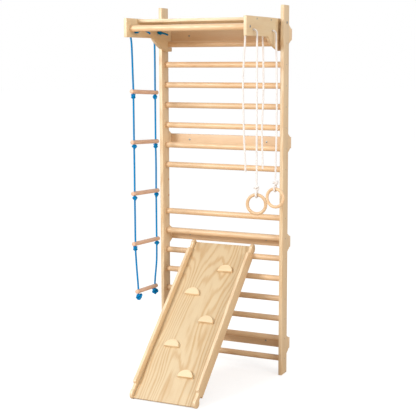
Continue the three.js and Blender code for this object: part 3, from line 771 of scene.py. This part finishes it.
def make_posts(look):
    for side in ("left", "right"):
        nodes = [f"post_{side}_lower", f"post_{side}_upper"]
        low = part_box(nodes[0])[0]
        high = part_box(nodes[1])[1]
        size = (high - low) / MM
        made = rounded_bar(f"wood_post_{side}", (size.z, size.y, size.x), 3, look["post"])
        place(made, (low + high) / 2, (0, 0, 1), (0, 1, 0), "wall_bars", "pine", *nodes)


def make_boards(look):
    for number in (1, 2, 3, 4):
        name = f"crossboard_{number}"
        centre, size = node_centre(name)
        made = rounded_bar("wood_" + name, (size.x, size.z, size.y), 3, look["board"])
        place(made, centre, (1, 0, 0), (0, 0, 1), "wall_bars", "board_wood", name)
        for side in ("left", "right"):
            node = f"standoff_{number}_{side}"
            low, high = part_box(node)
            depth = (high.y - low.y) / MM
            half_front, half_back = BLOCK_FRONT_HEIGHT / 2, BLOCK_BACK_HEIGHT / 2
            outline = [(-half_front, 0), (half_front, 0), (half_back, depth), (-half_back, depth)]
            block = plate("wood_" + node, [outline], POST_WIDTH, 1.2, look["post"])
            origin = Vector(((low.x + high.x) / 2, low.y, (low.z + high.z) / 2))
            place(block, origin, (0, 0, 1), (0, 1, 0), "wall_bars", "pine", node)


# ---- pull-up unit ----
def panel_outline():
    slot = RUNG_RADIUS + 0.5
    corner = 14
    ease = 3
    points = [(PANEL_FRONT_Y + ease, PANEL_FRONT_BOTTOM), (-165, PANEL_FRONT_BOTTOM)]
    points += bend((-165, PANEL_FRONT_BOTTOM), (-90, 1955), (18, PANEL_LOW_BOTTOM))[1:]
    points += arc((PANEL_JAW_Y - ease, PANEL_LOW_BOTTOM + ease), ease, -math.pi / 2, 0, 4)
    points += [(PANEL_JAW_Y, TOP_RUNG_Z - slot)]
    points += arc((RUNG_Y, TOP_RUNG_Z), slot, 1.5 * math.pi, math.pi / 2, 20)
    points += arc((PANEL_NOSE_Y - corner, TOP_RUNG_Z + slot + corner), corner, -math.pi / 2, 0, 8)
    points += arc((PANEL_NOSE_Y - ease, PANEL_TOP - ease), ease, 0, math.pi / 2, 4)
    points += arc((PANEL_FRONT_Y + ease, PANEL_TOP - ease), ease, math.pi / 2, math.pi, 4)
    points += arc((PANEL_FRONT_Y + ease, PANEL_FRONT_BOTTOM + ease), ease, math.pi, 1.5 * math.pi, 4)[:-1]
    return points


def make_unit(look):
    outlines = [panel_outline()]
    for y in ROPE_HOLE_Y:
        outlines.append(arc((y, ROPE_HOLE_Z), ROPE_HOLE_RADIUS, 0, 2 * math.pi, 24)[:-1])
    for side, sign in (("left", -1), ("right", 1)):
        node = f"pullup_panel_{side}"
        made = plate("wood_" + node, outlines, PANEL_THICKNESS, 1.5, look["panel"])
        half = PANEL_THICKNESS / 2
        low, high = sorted((sign * (half - PANEL_REBATE), sign * (half + 1)))
        cut_away(
            made, (PANEL_REBATE_Y, PANEL_LOW_BOTTOM - 1, low), (PANEL_JAW_Y + 1, PANEL_TOP + 1, high))
        origin = at(sign * (PANEL_OUTER_X - half), 0, 0)
        place(made, origin, (0, 1, 0), (0, 0, 1), "wall_bars", "plywood", node)
        face = sign * PANEL_OUTER_X
        heads = [(face, y, z) for y, z in PANEL_SCREWS]
        screws(f"panel_screws_{side}", heads, (sign, 0, 0), *PANEL_SCREW, look["steel"])
        screws(f"bar_bolt_{side}", [(face, *BAR_BOLT)], (sign, 0, 0), *BAR_BOLT_HEAD, look["steel"])
    centre, size = node_centre("pullup_bar")
    bar = turned("wood_pullup_bar", dowel_profile(size.x, size.y / 2, 1), look["rung"])
    place(bar, centre, (1, 0, 0), (0, 1, 0), "wall_bars", "beech", "pullup_bar")
    centre, size = node_centre("pullup_top_board")
    top = rounded_bar("wood_pullup_top_board", (size.x, size.y, size.z), 2.5, look["panel"])
    place(top, centre, (1, 0, 0), (0, 1, 0), "wall_bars", "plywood", "pullup_top_board")


def make_fixings(look):
    rungs = [node_centre(f"rung_{i + 1:02d}")[0] for i in range(RUNG_COUNT)]
    for side, sign in (("left", -1), ("right", 1)):
        face = sign * HALF_WIDTH
        heads = [(face, RUNG_Y, (centre - frame_offset).z / MM) for centre in rungs]
        screws(f"rung_screws_{side}", heads, (sign, 0, 0), *RUNG_SCREW, look["steel"])
        make_bolt(look, side, sign)
        inner = sign * (HALF_WIDTH - POST_WIDTH)
        for number, (y, z) in enumerate(SPLICE_PLUGS, 1):
            plug = turned(f"splice_plug_{side}_{number}", dowel_profile(4, 7.5, 0.8), look["plug"], 28)
            origin = at(inner + sign * 1.6, y, z)
            place(plug, origin, (1, 0, 0), (0, 0, 1), "wall_bars", "pine")
    for number in (1, 2, 3, 4):
        low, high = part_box(f"crossboard_{number}")
        z = ((low + high) / 2 - frame_offset).z / MM
        y = (low - frame_offset).y / MM
        heads = [(x, y, z) for x in (-BOARD_SCREW_X, BOARD_SCREW_X)]
        screws(f"wall_screws_{number}", heads, (0, -1, 0), *WALL_SCREW, look["steel"])


def make_bolt(look, side, sign):
    """The bolt through a post and a panel: a domed head outside, a spacer between and a nut inside."""
    outer = HALF_WIDTH + 0.3
    inner = PANEL_OUTER_X - PANEL_THICKNESS
    spacer = PANEL_OUTER_X - PANEL_REBATE + 0.3
    profile = [
        (inner - 6, 2.5), (inner - 5.5, 4), (inner - 4.5, 4), (inner - 4.5, 7.2), (inner - 0.3, 7.5),
        (inner - 0.3, 4), (spacer, 4), (spacer, 10),
        (HALF_WIDTH - POST_WIDTH - 0.3, 10), (HALF_WIDTH - POST_WIDTH - 0.3, 4), (outer, 4),
        (outer, 8), (outer + 1.2, 8), (outer + 2.6, 6.5), (outer + 3.4, 4), (outer + 3.4, 2.4),
        (outer + 1.6, 2.2),
    ]
    bolt = turned(f"steel_bolt_{side}", profile, look["steel"], 36)
    place(
        bolt, at(0, BOLT_Y, BOLT_Z), (sign, 0, 0), (0, 1, 0), "wall_bars", "steel", f"unit_bolt_{side}")


# ---- slide ----
def slide_axes():
    """The foot's place and the directions up the slope and square to the deck."""
    notch_u = SLIDE_LENGTH - NOTCH_FROM_END
    along = notch_u - LOBE_CENTRE[0]
    across = LOBE_CENTRE[1] - NOTCH_N
    slope = math.asin((SLIDE_RUNG_Z - LOBE_RADIUS) / math.hypot(along, across)) + math.atan2(across, along)
    up = Vector((0, math.cos(slope), math.sin(slope)))
    out = Vector((0, -math.sin(slope), math.cos(slope)))
    foot = at(SLIDE_CENTRE_X, RUNG_Y, SLIDE_RUNG_Z) - (up * notch_u + out * NOTCH_N) * MM
    return foot, up, out


def side_outline():
    """One side board: a raised rail between two rounded hooks that open downwards."""
    lobe_u, lobe_n = LOBE_CENTRE
    gap = math.hypot(NOTCH_FROM_END - lobe_u, lobe_n - NOTCH_N)
    towards = math.atan2(lobe_n - NOTCH_N, lobe_u - NOTCH_FROM_END)
    tip = towards + math.acos((NOTCH_RADIUS ** 2 + gap ** 2 - LOBE_RADIUS ** 2) / (2 * NOTCH_RADIUS * gap))
    tip_u = NOTCH_FROM_END + NOTCH_RADIUS * math.cos(tip)
    tip_n = NOTCH_N + NOTCH_RADIUS * math.sin(tip)
    start = math.atan2(tip_n - lobe_n, tip_u - lobe_u)
    neck = math.asin((NECK_TOP - lobe_n) / LOBE_RADIUS)
    half = arc((NOTCH_FROM_END, NOTCH_N), NOTCH_RADIUS, 0, tip, 24)
    half += arc((lobe_u, lobe_n), LOBE_RADIUS, start + 2 * math.pi, neck, 30)[1:]
    half += bend((RAIL_END - 14, NECK_TOP), (RAIL_END, NECK_TOP), (RAIL_END, NECK_TOP + 11), 8)
    half += bend((RAIL_END, NECK_TOP + 11), (RAIL_END, RAIL_TOP), (RAIL_END + 13, RAIL_TOP), 8)[1:]
    foot_end = [(NOTCH_FROM_END + NOTCH_RADIUS, SIDE_BOTTOM)] + half
    top_end = [(SLIDE_LENGTH - u, n) for u, n in reversed(foot_end)]
    return foot_end + top_end


def make_slide(look):
    foot, up, out = slide_axes()
    across = Vector((1, 0, 0))
    outline = side_outline()
    for side, sign in (("left", -1), ("right", 1)):
        node = f"slide_side_{side}"
        made = plate("wood_" + node, [outline], SIDE_THICKNESS, 2, look["rail"])
        origin = foot + across * (sign * (SLIDE_HALF_WIDTH - SIDE_THICKNESS / 2) * MM)
        place(made, origin, up, out, "slide_board", "plywood", node)
    width = 2 * (SLIDE_HALF_WIDTH - SIDE_THICKNESS - 0.3)
    size = (SLIDE_LENGTH - DECK_FOOT, width, DECK_THICKNESS)
    deck = rounded_bar("wood_slide_deck", size, 2.5, look["deck"])
    centre = foot + (up * (SLIDE_LENGTH + DECK_FOOT) / 2 + out * DECK_THICKNESS / 2) * MM
    place(deck, centre, up, -across, "slide_board", "plywood", "slide_deck")
    half_disc = arc((0, 0), HOLD_RADIUS, 0, math.pi, 40)
    for i in range(HOLD_COUNT):
        node = f"slide_hold_{i + 1}"
        hold = plate("wood_" + node, [half_disc], HOLD_THICKNESS, 2.5, look["hold"])
        x = HOLD_MIDDLE_X + (HOLD_OFFSET_X if i % 2 == 0 else -HOLD_OFFSET_X)
        lift = DECK_THICKNESS + 0.3 + HOLD_THICKNESS / 2
        origin = foot + (across * x + up * (FIRST_HOLD + i * HOLD_PITCH) + out * lift) * MM
        place(hold, origin, across, up, "slide_board", "hold_wood", node)


# ---- ropes ----
def smooth_path(points, step=1.6):
    """A smooth line through the points, in the frame, with points about `step` millimetres apart."""
    knots = [Vector(p) for p in points]
    ends = [2 * knots[0] - knots[1]] + knots + [2 * knots[-1] - knots[-2]]
    line = [knots[0]]
    for a, b, c, d in zip(ends, ends[1:], ends[2:], ends[3:]):
        t = [0.0]
        for p, q in ((a, b), (b, c), (c, d)):
            t.append(t[-1] + max((q - p).length, 1e-6) ** 0.5)
        steps = max(2, round((c - b).length / step))
        for i in range(1, steps + 1):
            s = t[1] + (t[2] - t[1]) * i / steps
            ab = a * ((t[1] - s) / (t[1] - t[0])) + b * ((s - t[0]) / (t[1] - t[0]))
            bc = b * ((t[2] - s) / (t[2] - t[1])) + c * ((s - t[1]) / (t[2] - t[1]))
            cd = c * ((t[3] - s) / (t[3] - t[2])) + d * ((s - t[2]) / (t[3] - t[2]))
            abc = ab * ((t[2] - s) / (t[2] - t[0])) + bc * ((s - t[0]) / (t[2] - t[0]))
            bcd = bc * ((t[3] - s) / (t[3] - t[1])) + cd * ((s - t[1]) / (t[3] - t[1]))
            line.append(abc * ((t[2] - s) / (t[2] - t[1])) + bcd * ((s - t[1]) / (t[2] - t[1])))
    return [at(*p) for p in line]


def tube_tangents(line, closed):
    """The direction of a line at each of its points."""
    count = len(line)
    if closed:
        return [(line[(i + 1) % count] - line[i - 1]).normalized() for i in range(count)]
    return [(line[min(i + 1, count - 1)] - line[max(i - 1, 0)]).normalized() for i in range(count)]


def braid_ring(bm, point, side, other, travel, radius, sides):
    """One ring of a cord's skin. Its ridges turn with the distance travelled along the cord."""
    ring = []
    for k in range(sides):
        angle = 2 * math.pi * k / sides
        left = abs(math.sin(BRAID_STRANDS * angle + travel * BRAID_RATE))
        right = abs(math.sin(BRAID_STRANDS * angle - travel * BRAID_RATE))
        reach = radius * (1 - BRAID_DEPTH + BRAID_DEPTH * max(left, right))
        ring.append(bm.verts.new(point + (side * math.cos(angle) + other * math.sin(angle)) * reach))
    return ring


def braid_rings(bm, line, tangents, radius, sides):
    """The rings of a cord's skin at the points of a line, and the distance travelled at each."""
    side = tangents[0].orthogonal().normalized()
    rings, travel = [], [0.0]
    for i, (point, tangent) in enumerate(zip(line, tangents)):
        if i:
            side = (side - tangent * side.dot(tangent)).normalized()
            travel.append(travel[-1] + (point - line[i - 1]).length)
        rings.append(braid_ring(bm, point, side, tangent.cross(side), travel[i], radius, sides))
    return rings, travel


def cap_tube(bm, ring, tip_place):
    """Closes a cord's end with a shallow cone."""
    tip = bm.verts.new(tip_place)
    for k, vertex in enumerate(ring):
        bm.faces.new((vertex, ring[(k + 1) % len(ring)], tip))


def braided_tube(name, line, material, diameter=ROPE_DIAMETER, sides=24, closed=False):
    """A braided cord along a line, with the braid's ridges in the mesh."""
    radius = diameter / 2 * MM
    tangents = tube_tangents(line, closed)
    bm = bmesh.new()
    uv_layer = bm.loops.layers.uv.new("UVMap")
    rings, travel = braid_rings(bm, line, tangents, radius, sides)
    spans = [(i, i + 1) for i in range(len(line) - 1)]
    if closed:
        spans.append((len(line) - 1, 0))
    for i, j in spans:
        start = travel[i] * BRAID_UV_RATE
        end = (travel[j] if j else travel[i]) * BRAID_UV_RATE
        for k in range(sides):
            m = (k + 1) % sides
            face = bm.faces.new((rings[i][k], rings[i][m], rings[j][m], rings[j][k]))
            corners = ((k, start), (k + 1, start), (k + 1, end), (k, end))
            for loop, (turn, run) in zip(face.loops, corners):
                loop[uv_layer].uv = (BRAID_STRANDS * turn / sides, run)
    if not closed:
        cap_tube(bm, rings[0], line[0] - tangents[0] * radius * TIP_ROUNDING)
        cap_tube(bm, rings[-1], line[-1] + tangents[-1] * radius * TIP_ROUNDING)
    return from_bmesh(name, bm, material, CORD_SMOOTHING)


def knot(name, centre, axis, material, spin, size, body="wall_bars", turns=1):
    """Overhand knots pulled tight: trefoils of the same cord round the rope, one beside another.

    spin turns the knot round the rope, in radians, and size is about a third of its reach, in millimetres.
    """
    x = Vector(axis).normalized()
    y = Matrix.Rotation(spin, 3, x) @ x.orthogonal().normalized()
    z = x.cross(y)
    parts = []
    for turn in range(turns):
        aside = y * (KNOT_ASIDE * (2 * turn - turns + 1)) + x * (KNOT_STAGGER * turn)
        line = []
        for i in range(KNOT_STEPS):
            t = 2 * math.pi * i / KNOT_STEPS
            across = math.sin(t) + 2 * math.sin(2 * t)
            upward = math.cos(t) - 2 * math.cos(2 * t)
            deep = -math.sin(3 * t)
            loop = y * across * 0.95 + x * upward * 0.95 + z * deep * 2.0
            line.append(centre + (loop * size + aside) * MM)
        parts.append(braided_tube(name, line, material, ROPE_DIAMETER * KNOT_CORD, 16, closed=True))
        spin_again = Matrix.Rotation(math.pi / 2, 3, x)
        y, z = spin_again @ y, spin_again @ z
    made = parts[0]
    if turns > 1:
        merge(made, parts[1:])
    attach(made, body)
    return made


def merge(made, others):
    """Adds the other pieces' meshes to the first piece, and drops them."""
    bm = bmesh.new()
    bm.from_mesh(made.data)
    for other in others:
        bm.from_mesh(other.data)
        mesh = other.data
        bpy.data.objects.remove(other)
        bpy.data.meshes.remove(mesh)
    bm.to_mesh(made.data)
    bm.free()
    finish_mesh(made.data, CORD_SMOOTHING)


def ladder_knots(look, label, end):
    """A knot under each rung of the ladder on one rope, and a double one under the last."""
    knots = []
    last = len(LADDER_RUNG_HEIGHTS) - 1
    for i, height in enumerate(LADDER_RUNG_HEIGHTS):
        twist = LAST_RUNG_TWIST if i == last else 0
        radius = END_KNOT_RADIUS if i == last else KNOT_RADIUS
        z = height - end * LADDER_HALF_SPACING * LADDER_TILTS[i]
        centre = at(
            LADDER_X - end * LADDER_HALF_SPACING * math.sin(twist),
            LADDER_CENTRE_Y + end * LADDER_HALF_SPACING * math.cos(twist),
            z - LADDER_RUNG_RADIUS - radius - KNOT_GAP)
        centre += Vector((0, KNOT_SHIFTS[label][i], 0)) * MM
        knots.append(knot(
            f"ladder_knot_{label}_{i + 1}", centre, (0, 0, 1), look["blue"], 0.9 * i + end,
            radius / KNOT_TIGHTNESS, "rope_ladder", turns=2 if i == last else 1))
    return knots


def make_ladder_rope(look, label, route, end):
    knots = ladder_knots(look, label, end)
    line = smooth_path(route)
    strand = braided_tube(f"blue_rope_{label}", line, look["blue"])
    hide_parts(f"ladder_rope_{label}")
    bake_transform(strand)


def make_ladder_rope_end(look, label, route, end):
    """A ladder rope's free end, inside the panel, with the knot that stops it."""
    line = smooth_path(route)
    stop = knot(
        f"stopper_knot_{label}", at(-STOPPER_KNOT_X, route[0][1], 2049), (1, 0, 0), look["blue"],
        0.7 * end, STOPPER_KNOT_SIZE)
    stub = braided_tube(f"blue_rope_end_{label}", line, look["blue"])
    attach(stub, "wall_bars")
    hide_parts(f"ladder_rope_end_{label}")


def make_ladder_ropes(look):
    routes = (
        ("front", LADDER_ROPE_FRONT, LADDER_END_FRONT, -1),
        ("rear", LADDER_ROPE_REAR, LADDER_END_REAR, 1),
    )
    for label, route, end_route, end in routes:
        make_ladder_rope(look, label, route, end)
        make_ladder_rope_end(look, label, end_route, end)


def ring_loop_line(index):
    """The bight of rope that holds a ring: down one side of it, under it and up the other."""
    tube_z = RING_CENTRE_Z + RING_RADIUS
    reach = RING_TUBE_RADIUS + ROPE_DIAMETER / 2 + 0.2
    points = [(3.0, RING_KNOT_Z - 4), (reach * 0.72, tube_z + 22), (reach, tube_z + 8)]
    points += [
        (reach * math.cos(angle), tube_z + reach * math.sin(angle))
        for angle in (-math.pi * i / 10 for i in range(11))
    ]
    points += [(-reach, tube_z + 8), (-reach * 0.72, tube_z + 22), (-3.0, RING_KNOT_Z - 4)]
    turn = RING_TURN[index]
    return [
        (RING_X - v * math.sin(turn), ROPE_HOLE_Y[index] + v * math.cos(turn), z) for v, z in points
    ]


def ring_strand_points(index):
    """The route of a ring's rope outside the panel, bowed a little to one side."""
    points = []
    for x, y, z in RING_STRAND:
        share = min(1, max(0, (RING_BOW_TOP - z) / RING_BOW_LENGTH))
        bow = RING_BOWS[index] * math.sin(math.pi * share)
        points.append((x + bow, ROPE_HOLE_Y[index] + y, z))
    return points


def make_ring_rope(look, index, label):
    """The rope from the panel to a ring, with the loop round the ring and the knot above it."""
    y = ROPE_HOLE_Y[index]
    body = f"ring_rope_{label}"
    line = smooth_path(ring_strand_points(index))
    strand = braided_tube(f"white_rope_{label}", line, look["white"])
    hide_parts(f"ring_rope_{index + 1}")
    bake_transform(strand)
    loop = braided_tube(f"ring_loop_{label}", smooth_path(ring_loop_line(index), 1.2), look["white"])
    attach(loop, body)
    tie = knot(
        f"ring_knot_{label}", at(RING_X + RING_KNOT_ASIDE, y, RING_KNOT_Z), (0, 0, 1), look["white"],
        1.1 + index, RING_KNOT_SIZE, body, turns=2)


def make_ring_tail(look, index, label):
    """A ring rope's free end, inside the panel, with the knot that stops it."""
    line = smooth_path(RING_TAILS[index])
    tail = braided_tube(f"white_rope_tail_{label}", line, look["white"])
    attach(tail, "wall_bars")
    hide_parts(f"ring_rope_tail_{index + 1}")
    stop = knot(
        f"ring_stopper_{label}", at(STOPPER_KNOT_X, ROPE_HOLE_Y[index], ROPE_HOLE_Z), (1, 0, 0),
        look["white"], 0.5 + index, STOPPER_KNOT_SIZE, "wall_bars")


def make_rings(look):
    for index, label in enumerate(("front", "rear")):
        make_ring_rope(look, index, label)
        make_ring_tail(look, index, label)


def make_ring_hoops(look):
    for index, label in enumerate(("front", "rear")):
        bm = bmesh.new()
        major, minor = 96, 28
        rings = []
        for i in range(major):
            a = 2 * math.pi * i / major
            ring = []
            for k in range(minor):
                b = 2 * math.pi * k / minor
                reach = RING_RADIUS + RING_TUBE_RADIUS * math.cos(b)
                spot = Vector((reach * math.sin(a), RING_TUBE_RADIUS * math.sin(b), reach * math.cos(a)))
                ring.append(bm.verts.new(spot * MM))
            rings.append(ring)
        for before, after in zip(rings, rings[1:] + rings[:1]):
            bridge(bm, before, after)
        hoop = from_bmesh(f"wood_ring_{label}", bm, look["rung"])
        turn = RING_TURN[index]
        place(
            hoop, at(RING_X, ROPE_HOLE_Y[index], RING_CENTRE_Z), (math.cos(turn), math.sin(turn), 0),
            (-math.sin(turn), math.cos(turn), 0), f"ring_{label}", "beech", f"ring_{index + 1}")


def make_ladder_rungs(look):
    for i, height in enumerate(LADDER_RUNG_HEIGHTS):
        node = f"ladder_rung_{i + 1}"
        twist = LAST_RUNG_TWIST if i == len(LADDER_RUNG_HEIGHTS) - 1 else 0
        profile = dowel_profile(LADDER_RUNG_LENGTH, LADDER_RUNG_RADIUS, 4)
        made = turned("wood_" + node, profile, look["ladder"], 40)
        along = Vector((-math.sin(twist), math.cos(twist), -LADDER_TILTS[i]))
        centre = at(LADDER_X, LADDER_CENTRE_Y, height)
        place(made, centre, along, (1, 0, 0), "rope_ladder", "ladder_rung_wood", node)


bpy.context.scene.view_settings.view_transform = "Standard"
make_camera()
looks = make_materials()
make_ladder_ropes(looks)
make_rings(looks)
make_ladder_rungs(looks)
make_ring_hoops(looks)
make_floor()
make_light()
make_rungs(looks)
make_posts(looks)
make_boards(looks)
make_unit(looks)
make_fixings(looks)
make_slide(looks)
